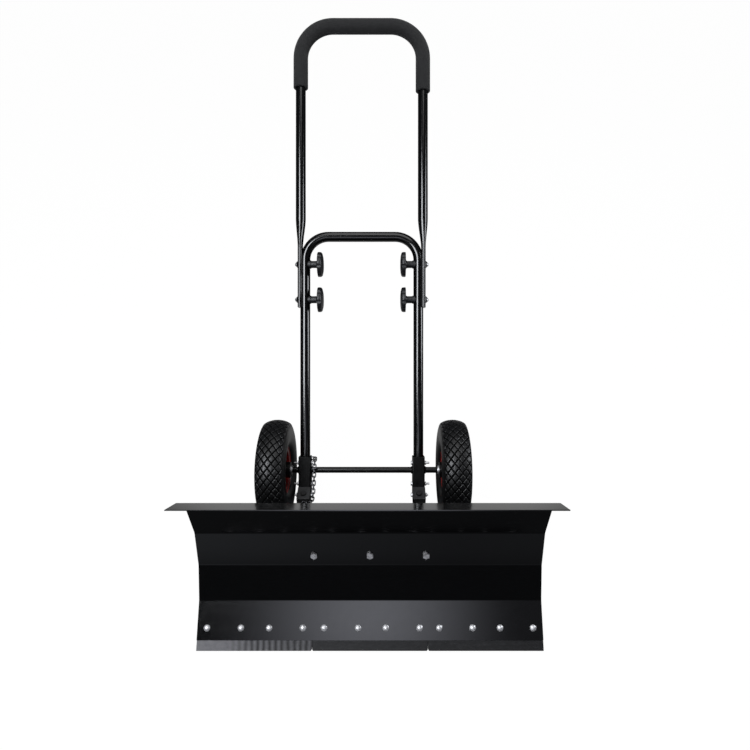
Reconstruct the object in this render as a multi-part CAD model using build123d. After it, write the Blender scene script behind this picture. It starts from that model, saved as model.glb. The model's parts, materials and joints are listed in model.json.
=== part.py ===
from build123d import *
from collections import namedtuple
import math
import os

# Wheeled snow shovel. Millimetres, +Z up, the blade faces -Y, +X is the side at the
# right of somebody facing the blade. Every piece is drawn about a point on the ground
# below the handle's middle plane at the axle, and save() moves it to the origin, which
# is on the ground in the middle of the shovel's outline seen from above.

os.makedirs("parts", exist_ok=True)

# ---------------------------------------------------------------- shared dimensions
LEAN = math.radians(38.0)        # handle lean from vertical, backwards
AXLE_Z = 127.0                   # axle centre above the ground
AXLE_R = 7.5
AXLE_X = 8.0                     # axle middle, to +X of the handle's middle
BLADE_X = 27.0                   # blade middle, to +X of the pivot
FOOT_MIDDLE = (BLADE_X, 155.7)   # middle of the outline, from the drawing point

HOLE_GAP = 0.2                   # radial gap round a bolt in its hole
WASHER_GAP = 0.1                 # radial gap inside a washer
RUN = 0.05                       # radial running clearance
THROUGH = 400.0                  # length of cutters that pass right through

LOWER_X = 143.5                  # lower U leg centres
SIDES = (("left", -1), ("right", 1))

# hex fastener sizes: shank radius, width across flats, head height, nut height
Hex = namedtuple("Hex", "radius flats head nut")
M5 = Hex(2.5, 9, 3.6, 4.2)
M6 = Hex(3.0, 10, 4.0, 5.0)
M8 = Hex(4.0, 13, 5.3, 6.5)
M12 = Hex(6.0, 19, 7.5, 10)

# ---------------------------------------------------------------- helpers
SIN, COS = math.sin(LEAN), math.cos(LEAN)
# handle frame: local x across, local y up the handle, local z towards the front
HANDLE = Plane(origin=(0, 0, AXLE_Z), x_dir=(1, 0, 0), z_dir=(0, -COS, SIN)).location
ON_BASE = (Align.CENTER, Align.CENTER, Align.MIN)


def save(name, *shapes):
    """Write one piece, moved to the middle of the outline."""
    move = Pos(-FOOT_MIDDLE[0], -FOOT_MIDDLE[1], 0)
    solids = [move * solid for shape in shapes for solid in shape.solids()]
    body = solids[0] if len(solids) == 1 else Compound(children=solids)
    body.label = name
    export_step(body, f"parts/{name}.step")


def on_handle(x, along):
    """Point in the legs' plane, at a distance up the handle from the axle centre."""
    return Vector(x, along * SIN, AXLE_Z + along * COS)


def facing(point, direction):
    return Plane(origin=point, z_dir=direction).location


def rod(start, end, radius):
    start, end = Vector(start), Vector(end)
    run = end - start
    return facing((start + end) * 0.5, run.normalized()) * Cylinder(radius, run.length)


def post(y, radius, bottom, top):
    """Upright cylinder on the plane x = 0."""
    return Pos(0, y, (bottom + top) / 2) * Cylinder(radius, top - bottom)


def bore_x(y, z, radius):
    return Pos(0, y, z) * Rot(0, 90, 0) * Cylinder(radius, THROUGH)


def bore_z(x, y, radius):
    return Pos(x, y, 0) * Cylinder(radius, THROUGH)


def ring(outer, inner, height):
    return Cylinder(outer, height) - Cylinder(inner, height * 2)


def cup(base, top, height, bore):
    """Bored cone standing on z = 0."""
    return Cone(base, top, height, align=ON_BASE) - Cylinder(bore, 20)


def hexagon(flats, height):
    return extrude(RegularPolygon(flats / math.sqrt(3), 6), height)


def nut(size):
    """Nut standing on z = 0, its corners trimmed."""
    middle = Pos(0, 0, size.nut / 2)
    corner = size.flats / math.sqrt(3)
    body = hexagon(size.flats, size.nut) & middle * Cylinder(corner * 0.985, size.nut)
    return body - middle * Cylinder(size.radius, size.nut * 2)


def hex_bolt(size, length):
    """Head from z = 0 up, shank from z = 0 down."""
    half = size.flats / 2
    body = hexagon(size.flats, size.head) & Cone(half + 3.2, half - 0.2, size.head * 2, align=ON_BASE)
    return body + Pos(0, 0, -length / 2) * Cylinder(size.radius, length)


def dome(radius, height):
    """Shallow spherical cap standing on z = 0."""
    ball = (radius * radius + height * height) / (2 * height)
    keep = Pos(0, 0, height / 2) * Cylinder(radius * 1.2, height)
    return (Pos(0, 0, height - ball) * Sphere(ball)) & keep


def profile_x(points, x0, x1):
    """A closed (y, z) outline extruded from x0 to x1."""
    face = make_face(Polyline(*points, close=True))
    plane = Plane(origin=(x0, 0, 0), x_dir=(0, 1, 0), z_dir=(1, 0, 0))
    return plane.location * extrude(face, x1 - x0)


def revolve_x(points):
    """A closed (x, r) outline turned about the X axis."""
    return revolve(make_face(Polyline(*points, close=True)), Axis.X, 360)


def u_bar(half, bottom, top, bend, radius):
    """Solid upside-down U in the handle frame, legs at x = -half and half."""
    path = FilletPolyline((-half, bottom), (-half, top), (half, top), (half, bottom), radius=bend)
    return sweep(Plane(origin=(-half, bottom, 0), z_dir=(0, 1, 0)) * Circle(radius), path=path)


# ---------------------------------------------------------------- lower handle frame
# distances up the handle are from the axle centre
TUBE_R = 12.5                    # 25 mm handle tube
TUBE_WALL = 1.5
LOWER_BOTTOM = -47.0
LOWER_TOP = 591.6
LOWER_BEND = 59.0
CLAMP_PLACES = (("lower", 432.0), ("upper", 521.4))   # clamp bolts up the handle
SOCKET_BOLTS = (18.0, -35.0)     # socket cross bolts up the handle


def lower_handle_frame():
    shape = (LOWER_X, LOWER_BOTTOM, LOWER_TOP, LOWER_BEND)
    frame = u_bar(*shape, TUBE_R) - u_bar(*shape, TUBE_R - TUBE_WALL)
    for _, along in CLAMP_PLACES:
        frame -= bore_x(along, 0, M8.radius + HOLE_GAP)
    for along in SOCKET_BOLTS:
        frame -= bore_x(along, 0, M5.radius + HOLE_GAP)
    return HANDLE * (frame - bore_x(0, 0, AXLE_R + HOLE_GAP))


save("lower_handle_frame", lower_handle_frame())

# ---------------------------------------------------------------- upper handle
UPPER_X = 155.0                  # upper U leg centres
UPPER_TOP = 1126.2
UPPER_BEND = 82.0
ROUND_FROM = 640.0               # the leg is round above this
VOID_FROM = 596.0                # the hollow of the tube ends here
FLAT_FROM = 562.0                # and the leg is crimped round the lower leg below this
FLAT_BOTTOM = 412.4
FLAT_X = 156.3
FLAT_T = 10.6
FLAT_W = 29.0
NEST = 0.1                       # gap between the crimped leg and the lower leg
SLOT_TRAVEL = 30.0
LOFT_STATIONS = 6
FOAM_R = 18.3
FOAM_END_LEFT = 969.0
FOAM_END_RIGHT = 961.0


def upper_bar(bottom, radius):
    return u_bar(UPPER_X, bottom, UPPER_TOP, UPPER_BEND, radius)


def leg_section(along, flatness, inset):
    """Section from a round tube (flatness 0) to the crimp (1), drawn in by inset."""
    roundness = 1 - flatness
    width = 2 * TUBE_R * roundness + FLAT_T * flatness - 2 * inset
    depth = 2 * TUBE_R * roundness + FLAT_W * flatness - 2 * inset
    x = UPPER_X * roundness + FLAT_X * flatness
    plane = Plane(origin=(x, along, 0), x_dir=(1, 0, 0), z_dir=(0, 1, 0))
    return plane * RectangleRounded(width, depth, width / 2 * 0.985)


def leg(inset, low):
    """The right leg from the height low up to the round tube."""
    sections = []
    for i in range(LOFT_STATIONS):
        along = low + (ROUND_FROM - low) * i / (LOFT_STATIONS - 1)
        rise = (along - FLAT_FROM) / (ROUND_FROM - FLAT_FROM)
        sections.append(leg_section(along, 1 - (3 * rise ** 2 - 2 * rise ** 3), inset))
    return loft(sections)


def upper_handle():
    crimp = extrude(leg_section(FLAT_FROM, 1.0, 0.0), -(FLAT_FROM - FLAT_BOTTOM))
    outside = leg(0.0, FLAT_FROM) + crimp
    inside = leg(TUBE_WALL, VOID_FROM)
    handle = upper_bar(ROUND_FROM, TUBE_R) + outside + mirror(outside, Plane.YZ)
    handle -= upper_bar(ROUND_FROM, TUBE_R - TUBE_WALL)
    handle -= inside
    handle -= mirror(inside, Plane.YZ)
    # the crimped ends are hollowed to sit on the lower legs over the whole height travel
    handle -= u_bar(LOWER_X, FLAT_BOTTOM - 20, LOWER_TOP + SLOT_TRAVEL, LOWER_BEND, TUBE_R + NEST)
    slot_w = 2 * (M8.radius + HOLE_GAP)
    for _, along in CLAMP_PLACES:
        slot = SlotOverall(SLOT_TRAVEL + slot_w, slot_w, rotation=90)
        cutter = extrude(slot, THROUGH / 2, both=True)
        handle -= Pos(0, along + SLOT_TRAVEL / 2, 0) * Rot(0, 90, 0) * cutter
    return HANDLE * handle


def foam_grip():
    """Sleeve over the top bend, cut shorter on the left."""
    foam = upper_bar(FOAM_END_RIGHT, FOAM_R) - upper_bar(FOAM_END_RIGHT, TUBE_R)
    trim = 40
    return HANDLE * (foam - Pos(-UPPER_X, FOAM_END_LEFT - trim / 2, 0) * Box(60, trim, 60))


save("upper_handle", upper_handle())
save("foam_grip", foam_grip())

# ---------------------------------------------------------------- handle clamps
CLAMP_FACE = FLAT_X + FLAT_T / 2 + 0.1   # x of the washers' inner faces
CUP_H = 3.4                      # height of the conical washers and axle collars
CLAMP_TIP_X = 106.0              # inner ends of the clamp bolts
KNOB_X = 128.7                   # outer face of the knobs
SADDLE_X = (128.8, 137.0)
SADDLE_R = 10.4
LOBES = 8
LOBE_CUT_R = 8.8
LOBE_CUT_PCR = 38.2
KNOB = [                         # r, z from the knob's outer face inwards
    (0, 31.2), (12, 30.9), (22, 30.0), (28.6, 28.2), (30.8, 26.0), (31.3, 22.5), (31.3, 19.0),
    (30.6, 17.6), (14.0, 17.0), (10.2, 15.8), (8.9, 13.4), (8.9, 1.4), (9.6, 0.0), (0, 0),
]


def make_knob():
    knob = revolve(Plane.XZ * make_face(Polyline(*KNOB, close=True)), Axis.Z, 360)
    for i in range(LOBES):
        angle = math.radians(360 / LOBES * (i + 0.5))
        x, y = LOBE_CUT_PCR * math.cos(angle), LOBE_CUT_PCR * math.sin(angle)
        knob -= Pos(x, y, 22) * Cylinder(LOBE_CUT_R, 30)
    return knob - Pos(0, 0, 12) * Cylinder(M8.radius + RUN, 26)


def clamp_washer(side, along):
    washer = cup(9.6, 6.8, CUP_H, M8.radius + WASHER_GAP)
    return facing(on_handle(side * CLAMP_FACE, along), Vector(side, 0, 0)) * washer


def clamp_bolt(side, along):
    seat = CLAMP_FACE + CUP_H
    head = facing(on_handle(side * seat, along), Vector(side, 0, 0)) * dome(5.8, 4.6)
    start = on_handle(side * (seat + 0.1), along)
    return head + rod(start, on_handle(side * CLAMP_TIP_X, along), M8.radius)


def saddle_washer(side, along):
    """Disc between knob and lower leg, hollowed to the leg."""
    inner, outer = (on_handle(side * x, along) for x in SADDLE_X)
    disc = rod(inner, outer, SADDLE_R)
    disc -= rod(on_handle(side * 120, along), on_handle(side * 140, along), M8.radius + WASHER_GAP)
    tube = rod(on_handle(LOWER_X, 300), on_handle(LOWER_X, 560), TUBE_R)
    disc -= tube if side > 0 else mirror(tube, Plane.YZ)
    return min(disc.solids(), key=lambda solid: abs(solid.center().X))


knob = make_knob()
clamps = [(side, along) for _, side in SIDES for _, along in CLAMP_PLACES]
for name, side in SIDES:
    for place, along in CLAMP_PLACES:
        inward = Vector(-side, 0, 0)
        save(f"knob_{place}_{name}", facing(on_handle(side * KNOB_X, along), inward) * knob)
save("handle_bolts", *[clamp_bolt(*clamp) for clamp in clamps])
save("handle_washers", *[clamp_washer(*clamp) for clamp in clamps])
save("saddle_washers", *[saddle_washer(*clamp) for clamp in clamps])

# ---------------------------------------------------------------- base: sockets, arms
SOCKET_W = 31.0
SOCKET_WALL = 1.8
SOCKET_TOP = 35.0                # up the handle from the axle centre
SOCKET_BOTTOM = -70.0
ARM_W = 28.0
ARM_WALL = 2.0
ARM_TOP = 102.0
ARM_FRONT = -190.0
BRACKET_T = 3.0                  # top of the bracket over the arm
BRACKET_CHEEK = 2.0
BRACKET_FRONT = -76.0
BRACKET_BOTTOM = 82.0
BRACKET_CHAMFER = 6.0            # at the lower front corner
BRACKET_BOLT_Y = -60.0
SIDE_BOLT = (-51.5, 92.0)        # y, z
PLATE_BOLT_Y = (-127.0, -152.0)


def socket_front(z):
    """Outline point (y, z) on the socket's front face at height z."""
    half = SOCKET_W / 2
    along = (z - AXLE_Z - half * SIN) / COS
    return along * SIN - half * COS, z


def base_socket(side):
    """Square tube round the foot of a lower leg."""
    length = SOCKET_TOP - SOCKET_BOTTOM
    inner = SOCKET_W - 2 * SOCKET_WALL
    socket = fillet(Box(SOCKET_W, length, SOCKET_W).edges().filter_by(Axis.Y), 3.0)
    socket -= Box(inner, length + 2, inner)
    socket = Pos(side * LOWER_X, (SOCKET_TOP + SOCKET_BOTTOM) / 2, 0) * socket
    for along in SOCKET_BOLTS:
        socket -= bore_x(along, 0, M5.radius + HOLE_GAP)
    return HANDLE * (socket - bore_x(0, 0, AXLE_R))


def push_arm(side):
    """Level square tube from the socket to the front."""
    x, bottom, inner = side * LOWER_X, ARM_TOP - ARM_W, ARM_W - 2 * ARM_WALL
    outline = [(ARM_FRONT, bottom), socket_front(bottom), socket_front(ARM_TOP),
               (ARM_FRONT, ARM_TOP)]
    arm = profile_x(outline, x - ARM_W / 2, x + ARM_W / 2)
    arm -= Pos(x, 0, ARM_TOP - ARM_W / 2) * Box(inner, THROUGH, inner)
    for y in (BRACKET_BOLT_Y,) + PLATE_BOLT_Y:
        arm -= bore_z(x, y, M8.radius + HOLE_GAP)
    return arm - bore_x(*SIDE_BOLT, M5.radius + HOLE_GAP)


def foot_bracket(side):
    """Channel over the rear end of a push arm."""
    x, top, half = side * LOWER_X, ARM_TOP + BRACKET_T, ARM_W / 2 + BRACKET_CHEEK
    outline = [(BRACKET_FRONT, BRACKET_BOTTOM + BRACKET_CHAMFER),
               (BRACKET_FRONT + BRACKET_CHAMFER, BRACKET_BOTTOM),
               socket_front(BRACKET_BOTTOM), socket_front(top), (BRACKET_FRONT, top)]
    bracket = profile_x(outline, x - half, x + half)
    reach = 100
    bracket -= Pos(x, BRACKET_BOLT_Y, ARM_TOP - reach / 2) * Box(ARM_W, reach, reach)
    bracket -= bore_z(x, BRACKET_BOLT_Y, M8.radius + HOLE_GAP)
    return bracket - bore_x(*SIDE_BOLT, M5.radius + HOLE_GAP)


def cross_fasteners():
    """Bolts and nuts across the sockets and brackets, heads on the inner side."""
    bolts, nuts = [], []
    for _, side in SIDES:
        out = Vector(side, 0, 0)

        def add_pair(place, half, length):
            bolts.append(facing(place(side * (LOWER_X - half)), -out) * hex_bolt(M5, length))
            nuts.append(facing(place(side * (LOWER_X + half)), out) * nut(M5))

        for along in SOCKET_BOLTS:
            add_pair(lambda x: on_handle(x, along), SOCKET_W / 2, 43.5)
        add_pair(lambda x: Vector(x, *SIDE_BOLT), ARM_W / 2 + BRACKET_CHEEK, 39.5)
    return bolts, nuts


for name, side in SIDES:
    save(f"base_socket_{name}", base_socket(side))
    save(f"push_arm_{name}", push_arm(side))
    save(f"foot_bracket_{name}", foot_bracket(side))
bolts, nuts = cross_fasteners()
save("socket_bolts", *bolts)
save("socket_nuts", *nuts)

# ---------------------------------------------------------------- cross plate, index quadrant
PLATE_T = 6.0
PLATE_TOP = ARM_TOP + PLATE_T
PLATE_REAR = -112.0
PLATE_FRONT = -165.0
PIVOT_Y = -140.0
INDEX_R = 80.0
INDEX_ANGLES = (-30.0, -15.0, 0.0, 15.0, 30.0)
QUADRANT_R = 98.0
QUADRANT_HALF_ANGLE = math.radians(52)
PIN_R = 6.0


def cross_plate():
    plate = Pos(0, (PLATE_REAR + PLATE_FRONT) / 2, ARM_TOP + PLATE_T / 2) * Box(
        2 * (LOWER_X + ARM_W / 2), PLATE_REAR - PLATE_FRONT, PLATE_T)
    reach = 200                  # wedge side length, well beyond the quadrant
    side_x = reach * math.sin(QUADRANT_HALF_ANGLE)
    side_y = PIVOT_Y - reach * math.cos(QUADRANT_HALF_ANGLE)
    wedge = make_face(Polyline((0, PIVOT_Y), (-side_x, side_y), (0, PIVOT_Y - 2 * reach),
                               (side_x, side_y), close=True))
    quadrant = Pos(0, 0, ARM_TOP) * extrude(wedge, PLATE_T)
    plate += quadrant & post(PIVOT_Y, QUADRANT_R, ARM_TOP, PLATE_TOP)
    plate -= bore_z(0, PIVOT_Y, M12.radius + WASHER_GAP)
    for degrees in INDEX_ANGLES:
        angle = math.radians(degrees)
        x, y = INDEX_R * math.sin(angle), PIVOT_Y - INDEX_R * math.cos(angle)
        plate -= bore_z(x, y, PIN_R + 0.3)
    for _, side in SIDES:
        for y in PLATE_BOLT_Y:
            plate -= bore_z(side * LOWER_X, y, M8.radius + HOLE_GAP)
    return plate


def arm_fasteners():
    """Upright bolts through bracket, plate and arm, with their nuts below the arm."""
    bolts, nuts = [], []
    places = [(BRACKET_BOLT_Y, ARM_TOP + BRACKET_T)] + [(y, PLATE_TOP) for y in PLATE_BOLT_Y]
    for _, side in SIDES:
        for y, top in places:
            bolts.append(Pos(side * LOWER_X, y, top) * hex_bolt(M8, 43))
            nuts.append(Pos(side * LOWER_X, y, ARM_TOP - ARM_W - M8.nut) * nut(M8))
    return bolts, nuts


save("cross_plate", cross_plate())
bolts, nuts = arm_fasteners()
save("arm_bolts", *bolts)
save("arm_nuts", *nuts)

# ---------------------------------------------------------------- pivot stack
SECTOR_Z = 109.5                 # underside of the sector plate
SECTOR_T = 5.0
SECTOR_TOP = SECTOR_Z + SECTOR_T
BUSH_R = 10.0
PIVOT_FLANGE_R = 13.0            # washers and bush flange
BUSH_TOP = SECTOR_TOP + 1.5
PIVOT_TIP_Z = 88.0

high_bottom = BUSH_TOP + 0.05
high_top = high_bottom + 1.6
washer_bore = bore_z(0, PIVOT_Y, M12.radius + WASHER_GAP)
low_washer = post(PIVOT_Y, PIVOT_FLANGE_R, PLATE_TOP, PLATE_TOP + 1.3) - washer_bore
high_washer = post(PIVOT_Y, PIVOT_FLANGE_R, high_bottom, high_top) - washer_bore
bush = post(PIVOT_Y, BUSH_R, SECTOR_Z - 0.1, SECTOR_TOP)
bush += post(PIVOT_Y, PIVOT_FLANGE_R, SECTOR_TOP, BUSH_TOP)
bush -= bore_z(0, PIVOT_Y, M12.radius + RUN)
save("pivot_washers", low_washer, high_washer)
save("pivot_bush", bush)
save("pivot_bolt", Pos(0, PIVOT_Y, high_top) * hex_bolt(M12, high_top - PIVOT_TIP_Z))
save("pivot_nut", Pos(0, PIVOT_Y, ARM_TOP - M12.nut) * nut(M12))

# ---------------------------------------------------------------- blade
BLADE_W = 740.0
BLADE_LEFT, BLADE_RIGHT = BLADE_X - BLADE_W / 2, BLADE_X + BLADE_W / 2
SHEET_T = 2.0
BLADE = [                        # front surface of the sheet, bottom to top, as (y, z)
    (-385.0, 15.3), (-322.8, 66.8), (-278.2, 130.5), (-252.3, 207.1),
    (-255.8, 293.1), (-283.6, 339.6), (-330.4, 376.8),
]
STRIP_T = 6.0
STRIP_UP = 50.0                  # overlap of the wear strip behind the sheet
STRIP_JOINT = 123.5              # joints between strips, from the blade's middle
STRIP_GAP = 0.3                  # gap at a joint
STRIP_NOTCH = 2.0                # corner cut where two strips meet
STRIP_BOLT_UP = 24.8             # up the facet from the sheet's lower edge
STRIP_BOLT_X = [BLADE_X + x for x in (
    -349.4, -276.8, -216.4, -144.0, -98.7, -25.7, 33.6, 106.0, 148.1, 219.6, 278.3, 349.0)]
SECTOR_BOLT_X = (-93.0, 27.0, 147.0)
SECTOR_BOLT_UP = 25.4            # up the facet from its lower bend


def offset_line(points, distance):
    """Open polyline moved sideways, to the right of its direction of travel."""
    lines = []
    for (y0, z0), (y1, z1) in zip(points, points[1:]):
        length = math.hypot(y1 - y0, z1 - z0)
        dy, dz = (y1 - y0) / length, (z1 - z0) / length
        lines.append(((y0 + dz * distance, z0 - dy * distance), (dy, dz), length))
    moved = [lines[0][0]]
    for ((y0, z0), (dy, dz), _), ((y1, z1), (next_dy, next_dz), _) in zip(lines, lines[1:]):
        cross = next_dy * dz - dy * next_dz
        run = (next_dy * (z1 - z0) - (y1 - y0) * next_dz) / cross
        moved.append((y0 + dy * run, z0 + dz * run))
    (y0, z0), (dy, dz), length = lines[-1]
    return moved + [(y0 + dy * length, z0 + dz * length)]


class Facet:
    """One flat of the blade, measured up from its lower bend and back from its front."""

    def __init__(self, index):
        (self.y, self.z), (end_y, end_z) = BLADE[index], BLADE[index + 1]
        length = math.hypot(end_y - self.y, end_z - self.z)
        self.up_y, self.up_z = (end_y - self.y) / length, (end_z - self.z) / length
        self.back = Vector(0, self.up_z, -self.up_y)

    def point(self, x, up, behind):
        return Vector(x, self.y + self.up_y * up, self.z + self.up_z * up) + self.back * behind

    def point_at(self, z, behind):
        return self.point(0, (z - self.z - self.back.Z * behind) / self.up_z, behind)

    def bore(self, x, up, radius):
        return rod(self.point(x, up, -20), self.point(x, up, 20), radius)

    def backing(self, z, up, thickness, x0, x1):
        """Plate against the sheet's back, its foot cut level at height z."""
        far = SHEET_T + thickness
        corners = [self.point_at(z, SHEET_T), self.point(0, up, SHEET_T),
                   self.point(0, up, far), self.point_at(z, far)]
        return profile_x([(corner.Y, corner.Z) for corner in corners], x0, x1)

    def fasten(self, x, up, thickness, bolt, fastener_nut):
        """A bolt on the sheet's front and its nut behind a backing plate."""
        behind = self.point(x, up, SHEET_T + thickness)
        return (facing(self.point(x, up, 0), -self.back) * bolt,
                facing(behind, self.back) * fastener_nut)


strip_facet = Facet(0)           # lowest facet
sector_facet = Facet(2)          # facet that carries the sector plate


def strip_hole(x):
    return strip_facet.bore(x, STRIP_BOLT_UP, M6.radius + HOLE_GAP)


def sector_hole(x):
    return sector_facet.bore(x, SECTOR_BOLT_UP, M8.radius + HOLE_GAP)


def blade_sheet():
    outline = BLADE + offset_line(BLADE, SHEET_T)[::-1]
    sheet = profile_x(outline, BLADE_LEFT, BLADE_RIGHT)
    for x in STRIP_BOLT_X:
        sheet -= strip_hole(x)
    for x in SECTOR_BOLT_X:
        sheet -= sector_hole(x)
    return sheet


def wear_strip(x0, x1):
    strip = strip_facet.backing(0, STRIP_UP, STRIP_T, x0, x1)
    for x in STRIP_BOLT_X:
        if x0 < x < x1:
            strip -= strip_hole(x)
    cut = STRIP_NOTCH * math.sqrt(2)
    for x in (BLADE_X - STRIP_JOINT, BLADE_X + STRIP_JOINT):
        strip -= Pos(x, strip_facet.point_at(0, SHEET_T).Y, 0) * Rot(0, 45, 0) * Box(cut, 80, cut)
    return strip


save("blade_sheet", blade_sheet())
outer_end, inner_end = STRIP_JOINT + STRIP_GAP / 2, STRIP_JOINT - STRIP_GAP / 2
save("wear_strip_left", wear_strip(BLADE_LEFT, BLADE_X - outer_end))
save("wear_strip_middle", wear_strip(BLADE_X - inner_end, BLADE_X + inner_end))
save("wear_strip_right", wear_strip(BLADE_X + outer_end, BLADE_RIGHT))

dome_bolt = dome(7.0, 3.6) + Pos(0, 0, -8.9) * Cylinder(M6.radius, 18.0)
flange_nut = Pos(0, 0, 0.6) * Cylinder(7.2, 1.2) + Pos(0, 0, 1.2) * hexagon(M6.flats, M6.nut)
flange_nut -= Cylinder(M6.radius, 30)
bolts, nuts = zip(*[strip_facet.fasten(x, STRIP_BOLT_UP, STRIP_T, dome_bolt, flange_nut)
                    for x in STRIP_BOLT_X])
save("strip_bolts", *bolts)
save("strip_nuts", *nuts)

# ---------------------------------------------------------------- sector plate on the blade
SECTOR_HALF = 136.0
FLANGE_T = 4.0
FLANGE_UP = 42.0
SECTOR_EYE_R = 31.0              # round end at the pivot
PIN_Y = PIVOT_Y - INDEX_R


def sector_plate():
    """Flange on the blade's back with a level web reaching to the pivot."""
    x0, x1 = BLADE_X - SECTOR_HALF, BLADE_X + SECTOR_HALF
    plate = sector_facet.backing(SECTOR_Z, FLANGE_UP, FLANGE_T, x0, x1)
    front = sector_facet.point_at(SECTOR_Z, SHEET_T).Y + 1.5
    end, shoulder, neck = front + 12, front + 22, PIVOT_Y - 8
    web = make_face(Polyline(
        (x0, front), (x1, front), (x1, end), (92, shoulder), (30, neck),
        (-30, neck), (-84, shoulder), (x0, end), close=True))
    plate += Pos(0, 0, SECTOR_Z) * extrude(web, SECTOR_T)
    plate += post(PIVOT_Y, SECTOR_EYE_R, SECTOR_Z, SECTOR_TOP)
    plate -= bore_z(0, PIVOT_Y, BUSH_R)
    plate -= bore_z(0, PIN_Y, PIN_R + RUN)
    for x in SECTOR_BOLT_X:
        plate -= sector_hole(x)
    return plate


save("sector_plate", sector_plate())
bolts, nuts = zip(*[sector_facet.fasten(x, SECTOR_BOLT_UP, FLANGE_T, hex_bolt(M8, 17), nut(M8))
                    for x in SECTOR_BOLT_X])
save("sector_bolts", *bolts)
save("sector_nuts", *nuts)

# ---------------------------------------------------------------- spring lock pin
PIN_TRAVEL = 10.0
PIN_STEM_R = 4.0
CAP_Z = 147.8                    # underside of the housing's cap
HOUSING_T = 3.0                  # cap and foot flange
COLLAR_Z = SECTOR_TOP + PIN_TRAVEL + 1.5
COLLAR_TOP = COLLAR_Z + 3.0
STEM_TOP = 176.0
SPRING_TURNS = 5.0
SPRING_WIRE_R = 0.8
SPRING_R = 6.2
SPRING_GAP = 0.2                 # at each end


def lock_pin_housing():
    housing = post(PIN_Y, 11, SECTOR_TOP, CAP_Z + HOUSING_T)
    housing += post(PIN_Y, 17, SECTOR_TOP, SECTOR_TOP + HOUSING_T)
    housing -= post(PIN_Y, 8.6, SECTOR_TOP - 3, CAP_Z)
    return housing - bore_z(0, PIN_Y, PIN_STEM_R + RUN)


def lock_pin():
    """Pin, collar, stem and pull knob."""
    pin = post(PIN_Y, PIN_R, SECTOR_Z + 0.4, COLLAR_Z)
    pin += post(PIN_Y, 8.2, COLLAR_Z, COLLAR_TOP)
    pin += post(PIN_Y, PIN_STEM_R, COLLAR_Z, STEM_TOP)
    return pin + Pos(0, PIN_Y, 172) * Cone(5, 11, 10) + post(PIN_Y, 11, 177, 189)


def lock_pin_spring():
    height = CAP_Z - COLLAR_TOP - 2 * (SPRING_WIRE_R + SPRING_GAP)
    helix = Helix(pitch=height / SPRING_TURNS, height=height, radius=SPRING_R)
    wire = Plane(origin=helix @ 0, z_dir=helix % 0) * Circle(SPRING_WIRE_R)
    spring = sweep(wire, path=helix, is_frenet=True)
    return Pos(0, PIN_Y, COLLAR_TOP + SPRING_WIRE_R + SPRING_GAP) * spring


save("lock_pin_housing", lock_pin_housing())
save("lock_pin", lock_pin())
save("lock_pin_spring", lock_pin_spring())

# ---------------------------------------------------------------- axle
AXLE_HALF = 270.0
WHEEL_X = 223.0                  # from the middle of the axle
HUB_R = 20.0
HUB_HALF = 35.0
HUB_GAP = 0.3                    # between hub and washer
AXLE_WASHER_T = 2.5
STOP_RING_T = 2.0
COTTER_X = 264.6                 # from the middle of the axle
TURN = Rot(0, 90, 0)


def on_axle(x, shape):
    """Place a shape about Z on the axle, x from the axle's middle."""
    return Pos(AXLE_X + x, 0, AXLE_Z) * TURN * shape


axle = on_axle(0, Cylinder(AXLE_R, 2 * AXLE_HALF))
collars, stop_rings, washers, cotters = [], [], [], []
for _, side in SIDES:
    cotter_x = AXLE_X + side * COTTER_X
    axle -= bore_z(cotter_x, 0, 1.7)
    for face in (1, -1):         # outer, then inner face of the socket
        place = Vector(side * (LOWER_X + face * SOCKET_W / 2), 0, AXLE_Z)
        collars.append(facing(place, Vector(side * face, 0, 0)) * cup(10.4, 8.4, CUP_H, AXLE_R))
    washer_off = HUB_HALF + HUB_GAP + AXLE_WASHER_T / 2
    ring_x = WHEEL_X - HUB_HALF - HUB_GAP - AXLE_WASHER_T - STOP_RING_T / 2
    stop_rings.append(on_axle(side * ring_x, ring(9.6, AXLE_R, STOP_RING_T)))
    for x in (WHEEL_X - washer_off, WHEEL_X + washer_off):
        washers.append(on_axle(side * x, ring(11.5, AXLE_R + WASHER_GAP, AXLE_WASHER_T)))
    cotters.append(Pos(cotter_x, 0, AXLE_Z - 1) * Cylinder(1.6, 24)
                   + Pos(cotter_x, 0, AXLE_Z + 13.5) * TURN * Torus(3.4, 1.3))
save("axle", axle)
save("axle_collars", *collars)
save("axle_stop_rings", *stop_rings)
save("axle_washers", *washers)
save("cotter_pins", *cotters)

# ---------------------------------------------------------------- wheels
# Wheel frame: the axle along x, local +x outboard. Outlines are (x, r). The tyre and
# tube tables give the x >= 0 half, from the middle plane round to the middle plane.
TYRE = [                         # tread, outer wall, bead, then back up the inside
    (0, 127.0), (10, 126.1), (20, 123.6), (26.2, 120.8), (30.0, 118.4), (32.2, 113.8),
    (34.2, 106), (35.3, 98), (35.7, 90), (35.2, 81), (33.4, 73), (30.4, 66.8),
    (27.0, 62.8), (24.4, 60.4), (22.6, 58.9), (21.6, 55.5), (21.0, 51.2), (20.2, 50.85),
    (13.4, 50.85), (12.9, 52.4), (14.4, 56), (17.6, 60.5), (22.0, 65.5), (26.4, 72.5),
    (29.0, 81), (29.6, 89), (29.0, 97), (27.2, 104.5), (23.6, 110.0), (18, 113.8),
    (10, 116.2), (0, 117.2),
]
TUBE_OUTSIDE = [
    (0, 116.2), (9.6, 115.2), (17.2, 112.8), (22.6, 109.2), (26.2, 104.1), (28.0, 96.8),
    (28.6, 89), (28.0, 81.2), (25.5, 73.2), (21.2, 66.3), (16.8, 61.3), (13.2, 56.9),
    (11.2, 54.0), (0, 53.4),
]
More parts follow.
